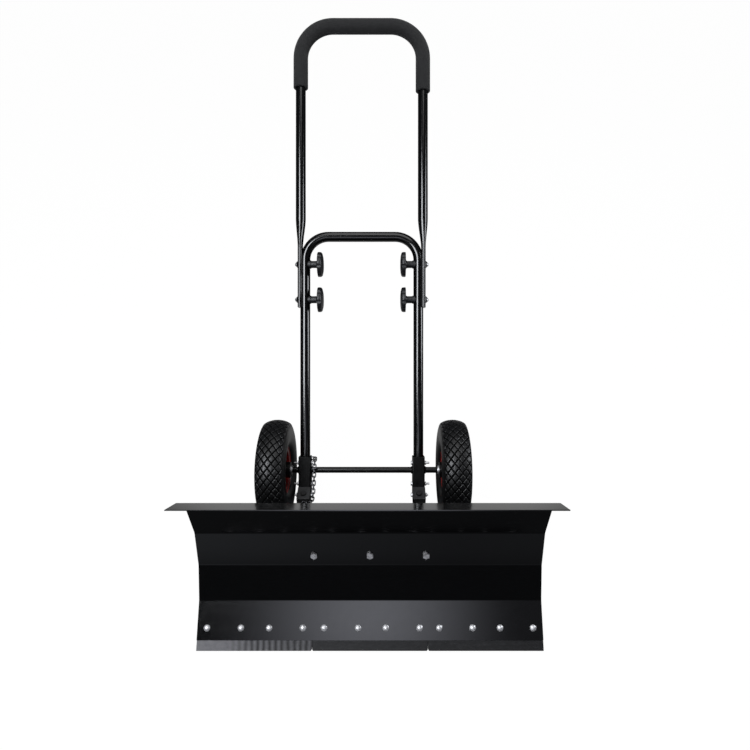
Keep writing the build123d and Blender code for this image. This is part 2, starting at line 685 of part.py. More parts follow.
TUBE_INSIDE = [
    (0, 55.4), (10.2, 56), (11.6, 58.2), (15.0, 62.6), (19.4, 67.6), (23.6, 74.0),
    (26.0, 81.6), (26.6, 89), (26.0, 96.4), (24.4, 103.2), (21.2, 107.7), (16.2, 111.0),
    (9.0, 113.2), (0, 114.2),
]
RIM = [                          # outer rim half, the whole section
    (0, HUB_R), (0, 45.6), (2.2, 48.4), (6, 50.8), (20.2, 50.8), (21.0, 51.1),
    (21.7, 55.5), (22.7, 58.8), (25.6, 59.2), (25.8, 57.4), (24.4, 56.9), (23.2, 49.2),
    (21.8, 48.6), (7.4, 48.6), (4.6, 46.8), (2.2, 43.8), (2.2, 27.5), (4.4, 25.2),
    (4.4, HUB_R),
]
RIM_T = 2.2                      # disc of one rim half
RIM_BOLTS = 5
RIM_BOLT_PCR = 34.0
BEARING_R = 17.5
BEARING_W = 11.0
STEM_TOP_END, STEM_TIP = Vector(5.2, 0, -57.0), Vector(17.0, 0, -33)


def symmetric_ring(half):
    return revolve_x(half + [(-x, r) for x, r in reversed(half[1:-1])])


def rims():
    """Outer and inner rim halves, and their fasteners."""
    outer = revolve_x(RIM)
    inner = mirror(outer, Plane.YZ)
    out = Vector(1, 0, 0)
    fasteners = []
    for i in range(RIM_BOLTS):
        angle = math.radians(360 / RIM_BOLTS * (i + 0.5))
        place = Vector(0, RIM_BOLT_PCR * math.sin(angle), RIM_BOLT_PCR * math.cos(angle))
        hole = rod(place - out * 10, place + out * 10, M6.radius + HOLE_GAP)
        outer -= hole
        inner -= hole
        fasteners.append(facing(place + out * RIM_T, out) * hex_bolt(M6, 12))
        fasteners.append(facing(place - out * RIM_T, -out) * nut(M6))
    outer -= rod(STEM_TOP_END + (STEM_TOP_END - STEM_TIP) * 0.2, STEM_TIP, 4.3)
    return outer, inner, fasteners


def valve_stem(tube_body):
    """Stem with a thicker root, cut off at the inner tube's outside."""
    root_end = STEM_TOP_END + (STEM_TIP - STEM_TOP_END) * 0.62
    stem = rod(STEM_TOP_END, root_end, 4.0) + rod(STEM_TOP_END, STEM_TIP, 2.6)
    return max((stem - tube_body).solids(), key=lambda solid: solid.volume)


def hub_and_bearings():
    hub = TURN * Cylinder(HUB_R, 2 * HUB_HALF) - TURN * Cylinder(12, 100)
    bearings = []
    for end in (-1, 1):
        middle = HUB_HALF - BEARING_W / 2
        hub -= Pos(end * (middle + 0.5), 0, 0) * TURN * Cylinder(BEARING_R, BEARING_W + 1)
        bearing = TURN * ring(BEARING_R, AXLE_R + RUN, BEARING_W)
        bearing -= Pos(end * BEARING_W / 2, 0, 0) * TURN * ring(15.2, 10.4, 1.2)
        bearings.append(Pos(end * middle, 0, 0) * bearing)
    return hub, bearings


tube_body = symmetric_ring(TUBE_OUTSIDE)
rim_outer, rim_inner, rim_fasteners = rims()
hub, bearings = hub_and_bearings()
WHEEL_PIECES = {
    "tyre": [symmetric_ring(TYRE)],
    "rim_outer": [rim_outer],
    "rim_inner": [rim_inner],
    "rim_fasteners": rim_fasteners,
    "valve_stem": [valve_stem(tube_body)],
    "inner_tube": [tube_body - symmetric_ring(TUBE_INSIDE)],
    "hub": [hub],
    "bearings": bearings,
}
for name, side in SIDES:
    place = Pos(AXLE_X + side * WHEEL_X, 0, AXLE_Z) * Rot(0, 0, 0 if side > 0 else 180)
    for piece, shapes in WHEEL_PIECES.items():
        save(f"{piece}_{name}", *[place * shape for shape in shapes])

# ---------------------------------------------------------------- keeper chain at the left
WIRE_R = 1.5                     # chain links and staples
LINK_INNER_L = 10.5
LINK_INNER_W = 4.6
LINK_PITCH = 10.0                # before fitting to the track
STAPLE_HALF = 5.6
CHAIN_TRACK = [                  # x, y, z from the socket down to the push arm
    (-118.6, 18, 150.6), (-118.6, 2, 146.5), (-118.8, -14, 136.8), (-119.2, -32, 121),
    (-119.6, -50, 109.5), (-120.2, -67, 101.5), (-123.0, -81, 101), (-130.0, -89.5, 108),
    (-139.0, -94, 113.2),
]


def chain(track):
    """Links along the track, each a quarter turn from the last, and their normals."""
    lead = LINK_INNER_L / 2 - WIRE_R - 0.5
    run = track.length - 2 * lead
    count = round(run / LINK_PITCH) + 1
    count -= count % 2
    pitch = run / (count - 1)
    half_length = (LINK_INNER_L + (pitch - LINK_PITCH)) / 2 + WIRE_R
    path = SlotOverall(2 * half_length, LINK_INNER_W + 2 * WIRE_R).wire()
    link = sweep(Plane(origin=path @ 0, z_dir=path % 0) * Circle(WIRE_R), path=path)
    links, normals = [], []
    carried = (track % (lead / track.length)).cross(Vector(1, 0, 0)).normalized()
    for i in range(count):
        fraction = (lead + i * pitch) / track.length
        tangent = track % fraction
        carried = (carried - tangent * carried.dot(tangent)).normalized()
        normal = tangent.cross(carried).normalized() if i % 2 else carried
        normals.append(normal)
        place = Plane(origin=track @ fraction, x_dir=tangent, z_dir=normal)
        links.append(place.location * link)
    return links, normals


def staple(middle, normal, foot):
    """Bar through an end link, with a leg from each end to its foot."""
    ends = (middle + normal * STAPLE_HALF, middle - normal * STAPLE_HALF)
    body = rod(*ends, WIRE_R)
    for end in ends:
        body += Pos(end) * Sphere(WIRE_R)
    for end in ends:
        body += rod(end, foot(end), WIRE_R)
    return body


track = Spline(*CHAIN_TRACK)
links, normals = chain(track)
socket_face = -(LOWER_X - SOCKET_W / 2)
save("chain", *links)
save("chain_staples",
     staple(track @ 0, normals[0], lambda end: Vector(socket_face, end.Y, end.Z)),
     staple(track @ 1, normals[-1], lambda end: Vector(end.X, end.Y, ARM_TOP)))
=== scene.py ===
# A two-wheeled push blade: a curved blade in front, an axle behind it and a handle that leans
# back. X runs across it, -Y is its front, Z is up and the floor is at Z 0.
# Metres, except the tyre section, which is in millimetres.
import bpy, bmesh, json, math
import numpy as np
from mathutils import Vector, Matrix


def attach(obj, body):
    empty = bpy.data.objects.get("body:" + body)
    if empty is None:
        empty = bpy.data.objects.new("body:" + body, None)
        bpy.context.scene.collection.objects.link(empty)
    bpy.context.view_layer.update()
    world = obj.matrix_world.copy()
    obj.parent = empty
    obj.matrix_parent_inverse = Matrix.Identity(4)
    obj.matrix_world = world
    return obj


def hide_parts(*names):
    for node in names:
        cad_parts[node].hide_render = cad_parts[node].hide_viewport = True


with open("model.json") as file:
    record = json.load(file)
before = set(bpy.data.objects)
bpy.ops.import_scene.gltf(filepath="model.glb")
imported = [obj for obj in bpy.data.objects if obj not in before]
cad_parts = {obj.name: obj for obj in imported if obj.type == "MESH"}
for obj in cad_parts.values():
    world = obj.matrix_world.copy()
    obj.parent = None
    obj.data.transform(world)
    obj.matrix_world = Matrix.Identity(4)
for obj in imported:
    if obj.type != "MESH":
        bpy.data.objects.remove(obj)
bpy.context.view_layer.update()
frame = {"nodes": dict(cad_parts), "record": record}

scene = bpy.context.scene
nodes = frame["nodes"]

TYRE_RADIUS = 127.0             # mm
AXLE_Z = TYRE_RADIUS / 1000     # the tyres stand on the floor
LEAN_DEGREES = 38.0             # the handle's lean back from upright
LEAN = math.radians(LEAN_DEGREES)
BLADE_X = 0.027                 # the blade's middle, from the handle

# New pieces, lights and camera are placed about the ground point under the handle at the axle.
# This is where that point lies in the frame, whose X 0 is the blade's middle.
OFFSET = Vector((-BLADE_X, -0.1557, 0.0))


# ------------------------------------------------------------------ node helpers
class Graph:
    """Builds the nodes of one material or world."""

    def __init__(self, owner, output="ShaderNodeOutputMaterial"):
        owner.use_nodes = True
        self.tree = owner.node_tree
        self.tree.nodes.clear()
        self.output = self.node(output)

    def feed(self, socket, value):
        """Links another node's output to a socket, or sets the socket's own value."""
        if isinstance(value, bpy.types.NodeSocket):
            self.tree.links.new(value, socket)
        elif socket.type == "RGBA":
            socket.default_value = (*value, 1.0)
        else:
            socket.default_value = value

    def node(self, kind, inputs=None, **props):
        node = self.tree.nodes.new(kind)
        for key, value in props.items():
            setattr(node, key, value)
        for key, value in (inputs or {}).items():
            self.feed(node.inputs[key], value)
        return node

    def finish_with(self, shader):
        self.feed(self.output.inputs[0], shader)

    def object_place(self):
        return self.node("ShaderNodeTexCoord").outputs["Object"]

    def split(self, vector):
        return self.node("ShaderNodeSeparateXYZ", {0: vector}).outputs

    def ramp(self, value, span, to=(0.0, 1.0), **props):
        """Maps the span onto another range, clamped at both ends."""
        inputs = {"Value": value, "From Min": span[0], "From Max": span[1],
                  "To Min": to[0], "To Max": to[1]}
        return self.node("ShaderNodeMapRange", inputs, **props).outputs["Result"]

    def calc(self, operation, *values):
        return self.node("ShaderNodeMath", dict(enumerate(values)), operation=operation).outputs[0]

    def shader(self, kind, color, **inputs):
        return self.node(kind, {"Color": color, **inputs}).outputs[0]

    def add_shaders(self, first, second):
        return self.node("ShaderNodeAddShader", {0: first, 1: second}).outputs[0]

    def camera_switch(self, unseen, seen):
        """One shader for the camera's own rays and another for all the rest."""
        path = self.node("ShaderNodeLightPath")
        inputs = {0: path.outputs["Is Camera Ray"], 1: unseen, 2: seen}
        return self.node("ShaderNodeMixShader", inputs).outputs[0]


materials = {}      # material name -> material; most names are also slot names


class Surface(Graph):
    """A principled material with textures in object space and stacked bumps."""

    def __init__(self, name):
        materials[name] = bpy.data.materials.new(name)
        super().__init__(materials[name])
        self.principled = self.node("ShaderNodeBsdfPrincipled")
        self.finish_with(self.principled.outputs[0])
        self.place = self.object_place()
        self.normal = None

    def noise(self, scale, detail=3.0, rough=0.55, place=None):
        inputs = {"Scale": scale, "Detail": detail, "Roughness": rough,
                  "Vector": place or self.place}
        return self.node("ShaderNodeTexNoise", inputs).outputs["Fac"]

    def voronoi(self, scale):
        inputs = {"Scale": scale, "Vector": self.place}
        return self.node("ShaderNodeTexVoronoi", inputs).outputs["Distance"]

    def mix(self, amount, first, second):
        # sockets 6 and 7 are the node's colour inputs
        inputs = {0: amount, 6: first, 7: second}
        return self.node("ShaderNodeMix", inputs, data_type="RGBA").outputs[2]

    def bump(self, height, strength, distance):
        inputs = {"Strength": strength, "Distance": distance, "Height": height}
        if self.normal is not None:
            inputs["Normal"] = self.normal
        self.normal = self.node("ShaderNodeBump", inputs).outputs["Normal"]

    def facing_up(self, span):
        """0 to 1 as the surface turns upward."""
        geometry = self.node("ShaderNodeNewGeometry")
        return self.ramp(self.split(geometry.outputs["Normal"])[2], span)

    def finish(self, color, rough, spec=0.5, metal=0.0, coat=0.0, coat_rough=0.1, sheen=0.0):
        settings = {"Base Color": color, "Roughness": rough, "Metallic": metal,
                    "Coat Weight": coat, "Coat Roughness": coat_rough,
                    "Specular IOR Level": spec, "Sheen Weight": sheen, "Normal": self.normal}
        for key, value in settings.items():
            self.feed(self.principled.inputs[key], value)


def shade(color, factor):
    return tuple(channel * factor for channel in color)


# ------------------------------------------------------------------ kinds of material
def paint(name, base, rough, peel, dust, dust_color, coat=0.0, spec=0.5, grain=900, chips=0.0):
    """Mottled paint with orange peel, dust on upward faces and, if asked, pale chips."""
    m = Surface(name)
    mottle = m.noise(scale=9, detail=4, rough=0.6)
    fine = m.noise(scale=60, detail=5, rough=0.65)
    m.bump(m.noise(scale=grain, detail=2, rough=0.5), strength=peel, distance=0.0006)
    m.bump(fine, strength=peel * 0.6, distance=0.0015)
    color = m.mix(m.ramp(mottle, span=(0.35, 0.68)), base, shade(base, 0.72))
    patches = m.ramp(m.noise(scale=24, detail=6, rough=0.7), span=(0.42, 0.75), to=(0.0, dust))
    layer = m.calc("MULTIPLY", m.facing_up(span=(0.35, 1.0)), patches)
    color = m.mix(layer, color, dust_color)
    dust_rough = m.calc("MULTIPLY", layer, 0.35)
    roughness = m.calc("ADD", m.ramp(fine, span=(0.3, 0.7), to=rough), dust_rough)
    if chips:
        spots = m.noise(scale=140, detail=3, rough=0.7)
        spots = m.ramp(spots, span=(0.70, 0.74), to=(0.0, chips))
        color = m.mix(spots, color, (0.16, 0.155, 0.15))
    m.finish(color, roughness, spec=spec, coat=coat, coat_rough=0.08)


def plated(name, tint, rough=(0.24, 0.46), metal=1.0):
    """Plated metal with a spangled sheen and small brown stains."""
    m = Surface(name)
    fine = m.noise(scale=220, detail=4, rough=0.6)
    m.bump(m.noise(scale=1400, detail=2), strength=0.08, distance=0.0003)
    color = m.mix(m.ramp(fine, span=(0.3, 0.7)), tint, shade(tint, 0.62))
    stains = m.noise(scale=55, detail=5, rough=0.7)
    stains = m.ramp(stains, span=(0.60, 0.74), to=(0.0, 0.55))
    color = m.mix(stains, color, (0.16, 0.13, 0.10))
    spangle = m.ramp(m.voronoi(scale=700), span=(0.0, 0.6), to=rough)
    m.finish(color, spangle, metal=metal, coat_rough=0.05)


def rubber(name, base, rough=(0.55, 0.85), grain=1300, strength=0.25, dust=0.35,
           dust_color=(0.11, 0.11, 0.115), spec=0.4):
    """Grained rubber or plastic with patchy dust."""
    m = Surface(name)
    fine = m.noise(scale=grain, detail=3, rough=0.6)
    mottle = m.noise(scale=70, detail=5, rough=0.6)
    m.bump(fine, strength=strength, distance=0.0006)
    m.bump(mottle, strength=strength * 0.5, distance=0.0012)
    color = m.mix(m.ramp(mottle, span=(0.35, 0.7)), base, shade(base, 0.6))
    layer = m.ramp(m.noise(scale=18, detail=6, rough=0.7), span=(0.45, 0.8), to=(0.0, dust))
    color = m.mix(layer, color, dust_color)
    m.finish(color, m.ramp(fine, span=(0.3, 0.7), to=rough), spec=spec)


def tread_rubber(name):
    """Tyre rubber: block faces polished, grooves dull, with painted shade darkening the grooves'
    colour.
    """
    m = Surface(name)
    attribute = m.node("ShaderNodeAttribute", attribute_name="groove")
    groove = m.ramp(attribute.outputs["Fac"], span=(0.15, 0.75))
    fine = m.noise(scale=1300, detail=3, rough=0.6)
    mottle = m.noise(scale=70, detail=5, rough=0.6)
    m.bump(fine, strength=0.12, distance=0.0005)
    m.bump(mottle, strength=0.06, distance=0.0010)
    color = m.mix(m.ramp(mottle, span=(0.35, 0.7)),
                  (0.0072, 0.0074, 0.0085), (0.0042, 0.0042, 0.0046))
    dust = m.ramp(m.noise(scale=20, detail=6, rough=0.7), span=(0.45, 0.8), to=(0.0, 0.4))
    color = m.mix(dust, color, (0.017, 0.0175, 0.020))
    # painted shade: the grooves' colour is darkened to stand in for the shade that falls in them
    color = m.mix(groove, color, (0.0020, 0.0020, 0.0020))
    roughness = m.calc("ADD", m.ramp(fine, span=(0.3, 0.7), to=(0.32, 0.48)),
                       m.calc("MULTIPLY", groove, 0.4))
    block_spec, groove_spec = 0.34, 0.04
    m.finish(color, roughness, spec=block_spec)
    m.feed(m.principled.inputs["Specular IOR Level"],
           m.ramp(groove, span=(0.0, 0.6), to=(block_spec, groove_spec)))


RIPPLE_PITCH = 0.0131


def pale_ripples(m, mottle):
    """How much paler the left strip is made: solid at its outer end, broken into ripples inward.
    """
    # X about the handle, from -0.343 at the strip's outer end to -0.096
    x = m.calc("ADD", m.split(m.place)[0], BLADE_X)
    wobble = m.calc("SUBTRACT", m.noise(scale=30, detail=2), 0.5)
    wobble = m.calc("MULTIPLY", wobble, 0.006)
    phase = m.calc("MULTIPLY", m.calc("ADD", x, wobble), 2 * math.pi / RIPPLE_PITCH)
    # a sine takes one value; the node's second input is idle
    wave = m.ramp(m.calc("SINE", phase, 0.0), span=(-1.15, 1.0))
    rippled = m.ramp(x, span=(-0.285, -0.215))
    fade = m.ramp(x, span=(-0.290, -0.150), to=(1.0, 0.55))
    pale = m.calc("ADD", m.calc("SUBTRACT", 1.0, rippled), m.calc("MULTIPLY", rippled, wave))
    pale = m.calc("MULTIPLY", pale, fade)
    return m.calc("MULTIPLY", pale, m.ramp(mottle, span=(0.25, 0.6), to=(0.72, 1.0)))


def strip_rubber(name, pale_end):
    """Hard rubber strip with streaks and pale speckle; if asked, its outer end is also made paler,
    in ripples inward.
    """
    m = Surface(name)
    mottle = m.noise(scale=90, detail=6, rough=0.65)
    fine = m.noise(scale=900, detail=3, rough=0.6)
    m.bump(fine, strength=0.35, distance=0.0006)
    m.bump(mottle, strength=0.25, distance=0.0010)
    color = m.mix(m.ramp(mottle, span=(0.35, 0.72)),
                  (0.013, 0.013, 0.0145), (0.008, 0.008, 0.009))
    # noise cells longest along X make the streaks
    stretched = m.node("ShaderNodeMapping", {"Scale": (55, 160, 260), "Vector": m.place})
    streaks = m.noise(scale=1.0, detail=5, rough=0.7, place=stretched.outputs["Vector"])
    color = m.mix(m.ramp(streaks, span=(0.50, 0.78), to=(0.0, 0.6)), color, (0.045, 0.045, 0.050))
    speckle = m.ramp(m.voronoi(scale=330), span=(0.0, 0.16), to=(0.55, 0.0))
    color = m.mix(speckle, color, (0.16, 0.16, 0.165))
    if pale_end:
        # the outer end made paler, solid and then broken into ripples inward
        color = m.mix(pale_ripples(m, mottle), color, (0.285, 0.285, 0.305))
    m.finish(color, m.ramp(fine, span=(0.3, 0.7), to=(0.42, 0.7)), spec=0.28)


def foam(name):
    """Open-celled foam with a faint sheen."""
    m = Surface(name)
    cells = m.voronoi(scale=1100)
    pits = m.noise(scale=260, detail=4, rough=0.7)
    m.bump(cells, strength=0.55, distance=0.0007)
    m.bump(pits, strength=0.25, distance=0.0014)
    m.bump(m.noise(scale=22, detail=3, rough=0.5), strength=0.18, distance=0.004)
    color = m.mix(m.ramp(cells, span=(0.05, 0.6)),
                  (0.0060, 0.0060, 0.0068), (0.0132, 0.0132, 0.0144))
    patches = m.ramp(m.noise(scale=30, detail=4), span=(0.45, 0.75), to=(0.0, 0.3))
    color = m.mix(patches, color, (0.018, 0.0177, 0.0195))
    m.finish(color, m.ramp(pits, span=(0.3, 0.7), to=(0.75, 0.95)), spec=0.3, sheen=0.25)


# ------------------------------------------------------------------ the materials
paint("powder_black_gloss", base=(0.0018, 0.0018, 0.0022), rough=(0.13, 0.18), peel=0.003,
      dust=0.05, dust_color=(0.03, 0.031, 0.034))
paint("powder_black_blade", base=(0.0012, 0.0012, 0.0015), rough=(0.10, 0.145), peel=0.004,
      dust=0.02, dust_color=(0.012, 0.0125, 0.014), grain=300)
paint("powder_black_matte", base=(0.0028, 0.0028, 0.0030), rough=(0.38, 0.55), peel=0.08,
      dust=0.08, dust_color=(0.02, 0.02, 0.021), spec=0.12, grain=1400)
paint("black_oxide", base=(0.010, 0.010, 0.011), rough=(0.28, 0.45), peel=0.05,
      dust=0.15, dust_color=(0.05, 0.05, 0.05))
paint("bracket_grey", base=(0.020, 0.0205, 0.022), rough=(0.40, 0.62), peel=0.12,
      dust=0.7, dust_color=(0.065, 0.066, 0.07), spec=0.45, chips=0.8)
paint("axle_steel", base=(0.006, 0.006, 0.0066), rough=(0.26, 0.42), peel=0.04,
      dust=0.3, dust_color=(0.03, 0.03, 0.031), spec=0.25, chips=0.25)
paint("rim_red", base=(0.56, 0.016, 0.012), rough=(0.22, 0.38), peel=0.03,
      dust=0.25, dust_color=(0.30, 0.06, 0.05), coat=0.25)
plated("zinc", tint=(0.74, 0.74, 0.755), rough=(0.34, 0.52))
# paler, more diffuse copies of zinc for the bolts: the extra paleness is painted light standing in
# for the bright highlights these heads catch
plated("zinc_painted_bright", tint=(0.93, 0.93, 0.95), rough=(0.18, 0.30), metal=0.45)
plated("zinc_dome_painted_bright", tint=(0.93, 0.93, 0.95), rough=(0.34, 0.50), metal=0.5)
plated("chain_steel", tint=(0.085, 0.085, 0.09), rough=(0.18, 0.34))
plated("bush_brass", tint=(0.62, 0.42, 0.16))
rubber("bearing_seal", base=(0.012, 0.012, 0.012), rough=(0.4, 0.6))
rubber("tube_rubber", base=(0.012, 0.012, 0.012))
rubber("knob_plastic", base=(0.012, 0.013, 0.016), rough=(0.36, 0.52), grain=1500,
       strength=0.12, dust=0.25, dust_color=(0.030, 0.032, 0.038), spec=0.36)
tread_rubber("tyre_rubber")
strip_rubber("strip_rubber", pale_end=False)
strip_rubber("strip_rubber_pale_end", pale_end=True)
foam("foam")

# pieces that look different from the rest of their slot
SPECIAL = {
    "blade_sheet": "powder_black_blade",
    "wear_strip_left": "strip_rubber_pale_end",
    # the bolts take the brightened zinc copies, whose paleness is painted highlight
    "sector_bolts": "zinc_painted_bright",
    "strip_bolts": "zinc_dome_painted_bright",
}
slot_of = {part["node"]: part["material_slot"] for part in frame["record"]["subparts"]}


def set_material(piece, material):
    piece.data.materials.clear()
    piece.data.materials.append(material)


for name, piece in nodes.items():
    set_material(piece, materials[SPECIAL.get(name, slot_of[name])])


# ------------------------------------------------------------------ mesh helpers
def smooth_faces(mesh):
    mesh.polygons.foreach_set("use_smooth", [True] * len(mesh.polygons))


def mesh_object(name, verts, faces):
    """A smooth object from points placed about the handle's ground point."""
    mesh = bpy.data.meshes.new(name)
    mesh.from_pydata(verts, [], faces)
    mesh.validate()
    mesh.transform(Matrix.Translation(OFFSET))
    mesh.update()
    piece = bpy.data.objects.new(name, mesh)
    scene.collection.objects.link(piece)
    smooth_faces(mesh)
    return piece


def face_outward(mesh, edge_round=None, sharp_degrees=40):
    """Turns the faces outward and, if asked, rounds the sharp edges."""
    bm = bmesh.new()
    bm.from_mesh(mesh)
    bmesh.ops.recalc_face_normals(bm, faces=bm.faces)
    if edge_round:
        limit = math.radians(sharp_degrees)
        sharp = [e for e in bm.edges if len(e.link_faces) == 2 and e.calc_face_angle() > limit]
        bmesh.ops.bevel(bm, geom=sharp, offset=edge_round, segments=2, affect="EDGES",
                        clamp_overlap=True)
    bm.to_mesh(mesh)
    bm.free()
    smooth_faces(mesh)


def stand_in(piece, material, rides, replaces):
    """Puts a new piece in the place of a CAD piece."""
    set_material(piece, materials[material])
    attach(piece, rides)
    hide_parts(replaces)


def lengths_along(points):
    steps = np.linalg.norm(np.diff(points, axis=0), axis=1)
    return np.concatenate([[0], np.cumsum(steps)])


# ------------------------------------------------------------------ blade
BLADE_HALF_WIDTH = 0.37
BLADE_THICKNESS = 0.002
BLADE_STATIONS = 75         # across the width
BEND_RADIUS = 0.016
BEND_STEPS = 6
BLADE_EDGE_ROUND = 0.0005
# front face from the lower edge to the upper: Y, Z
BLADE_BENDS = [
    (-0.3850, 0.0153), (-0.3228, 0.0668), (-0.2782, 0.1305), (-0.2523, 0.2071),
    (-0.2558, 0.2931), (-0.2836, 0.3396), (-0.3304, 0.3768),
]


def rounded(points, radius, steps):
    """An open polyline with its inner corners turned into arcs."""
    points = [np.array(point, float) for point in points]
    out = [points[0]]
    for before, corner, after in zip(points, points[1:], points[2:]):
        back, ahead = before - corner, after - corner
        back_length, ahead_length = np.linalg.norm(back), np.linalg.norm(ahead)
        back, ahead = back / back_length, ahead / ahead_length
        half = math.acos(max(-1, min(1, float(back @ ahead)))) / 2
        # an arc takes at most this share of either side
        cut = min(radius / math.tan(half), 0.4 * back_length, 0.4 * ahead_length)
        arc_radius = cut * math.tan(half)
        inward = (back + ahead) / np.linalg.norm(back + ahead)
        centre = corner + inward * (arc_radius / math.sin(half))
        start, end = corner + back * cut - centre, corner + ahead * cut - centre
        first = math.atan2(start[1], start[0])
        last = math.atan2(end[1], end[0])
        turn = (last - first + math.pi) % (2 * math.pi) - math.pi
        for i in range(steps + 1):
            angle = first + turn * i / steps
            out.append(centre + arc_radius * np.array([math.cos(angle), math.sin(angle)]))
    out.append(points[-1])
    return np.array(out)


def make_blade():
    """The bent sheet: its section carried across the width, capped at both ends."""
    front = rounded(BLADE_BENDS, BEND_RADIUS, BEND_STEPS)
    along = np.gradient(front, axis=0)
    along /= np.linalg.norm(along, axis=1)[:, None]
    back = front + np.stack([along[:, 1], -along[:, 0]], 1) * BLADE_THICKNESS
    ring = np.vstack([front, back[::-1]])
    stations = np.linspace(BLADE_X - BLADE_HALF_WIDTH, BLADE_X + BLADE_HALF_WIDTH,
                           BLADE_STATIONS)
    verts = [(x, *point) for x in stations for point in ring]
    count = len(ring)
    last_ring = (BLADE_STATIONS - 1) * count
    faces = []
    for start in range(0, last_ring, count):
        for j in range(count):
            a, b = start + j, start + (j + 1) % count
            faces.append((a, a + count, b + count, b))
    for start, order in ((0, 1), (last_ring, -1)):
        for j in range(len(front) - 1):
            far = start + count - 1 - j
            faces.append((start + j, start + j + 1, far - 1, far)[::order])
    blade = mesh_object("blade_panel", verts, faces)
    face_outward(blade.data, edge_round=BLADE_EDGE_ROUND)
    blade.data.set_sharp_from_angle(angle=math.radians(32))
    stand_in(blade, "powder_black_blade", rides="blade", replaces="blade_sheet")


# ------------------------------------------------------------------ tyres (mm until placed)
WHEEL_X = 0.223         # m, each wheel's middle from the pair's middle
WHEELS_MIDDLE_X = 0.008     # m
# half section, from the crown's middle to the bead: distance across, radius
TYRE_OUTSIDE = [
    (0, TYRE_RADIUS), (10, 126.1), (20, 123.6), (26.2, 120.8), (30.0, 118.4), (32.2, 113.8),
    (34.2, 106), (35.3, 98), (35.7, 90), (35.2, 81), (33.4, 73), (30.4, 66.8), (27.0, 62.8),
    (24.4, 60.4), (22.6, 58.9), (21.6, 55.5), (21.0, 51.2), (20.2, 50.85), (13.4, 50.85),
]
SHOULDER = 4            # the point where the crown meets the side wall
# the same for the inside, from the bead back to the middle
TYRE_INSIDE = [
    (12.9, 52.4), (14.4, 56), (17.6, 60.5), (22.0, 65.5), (26.4, 72.5), (29.0, 81), (29.6, 89),
    (29.0, 97), (27.2, 104.5), (23.6, 110.0), (18, 113.8), (10, 116.2), (0, 117.2),
]
WALL_STEP, INSIDE_STEP = 2.4, 6.0
TREAD_REACH = 6         # section points past the crown that still carry tread

TREAD_PITCH = 2 * math.pi * TYRE_RADIUS / 35
GROOVE_SLANT = 1.28     # travel round the tyre for each mm across
GROOVE_HALF_WIDTH = 2.5
GROOVE_DEPTH = 2.6
# Places below are distances from the crown's middle along the section.
GROOVE_END, GROOVE_FADE = 36.5, 3.0
EDGE_AT, EDGE_HALF_WIDTH, EDGE_SHARE = 38.0, 1.6, 0.55      # groove round each shoulder
NOTCH_AT, NOTCH_HALF_WIDTH, NOTCH_SHARE = 42.0, 3.0, 0.25   # notches beyond that groove
NOTCH_FILL = 0.28       # share of each half pitch that a notch takes
LINES_AT, LINE_HALF_WIDTH, LINE_DEPTH = (50.0, 53.5, 74.0), 0.9, 0.5    # side wall rings


def resample(points, step):
    """Catmull-Rom through the points, then even steps."""
    points = np.array(points, float)
    padded = np.vstack([2 * points[0] - points[1], points, 2 * points[-1] - points[-2]])
    dense = []
    for i in range(1, len(padded) - 2):
        a, b, c, d = padded[i - 1:i + 3]
        for t in np.linspace(0, 1, 12, endpoint=False):
            dense.append(0.5 * ((2 * b) + (-a + c) * t + (2 * a - 5 * b + 4 * c - d) * t * t
                                + (-a + 3 * b - 3 * c + d) * t ** 3))
    dense.append(points[-1])
    dense = np.array(dense)
    lengths = lengths_along(dense)
    places = np.linspace(0, lengths[-1], int(round(lengths[-1] / step)) + 1)
    return np.stack([np.interp(places, lengths, dense[:, axis]) for axis in (0, 1)], 1)


def hollow(distance, half_width):
    """1 on a line, falling to 0 at its half width."""
    return np.clip(1 - (distance / half_width) ** 2, 0, 1)


def slanted_grooves(travel):
    to_line = TREAD_PITCH / 2 - np.abs((travel / TREAD_PITCH) % 1.0 - 0.5) * TREAD_PITCH
    return hollow(to_line, GROOVE_HALF_WIDTH)


def tread_pattern(turn, across):
    """Share of the groove depth at each turn (rows) and section point (columns)."""
    around = (turn * TYRE_RADIUS)[:, None]
    across = across[None, :]
    out = np.abs(across)
    grooves = np.maximum(slanted_grooves(around + across * GROOVE_SLANT),
                         slanted_grooves(around - across * GROOVE_SLANT))
    grooves = grooves * np.clip((GROOVE_END - out) / GROOVE_FADE, 0, 1)
    edge = hollow(out - EDGE_AT, EDGE_HALF_WIDTH) * EDGE_SHARE
    to_notch = np.abs(((around / (TREAD_PITCH / 2)) % 1.0) - 0.5) * 2
    notches = (hollow(to_notch, NOTCH_FILL) * hollow(out - NOTCH_AT, NOTCH_HALF_WIDTH)
               * NOTCH_SHARE)
    return np.maximum(np.maximum(grooves, edge), notches)


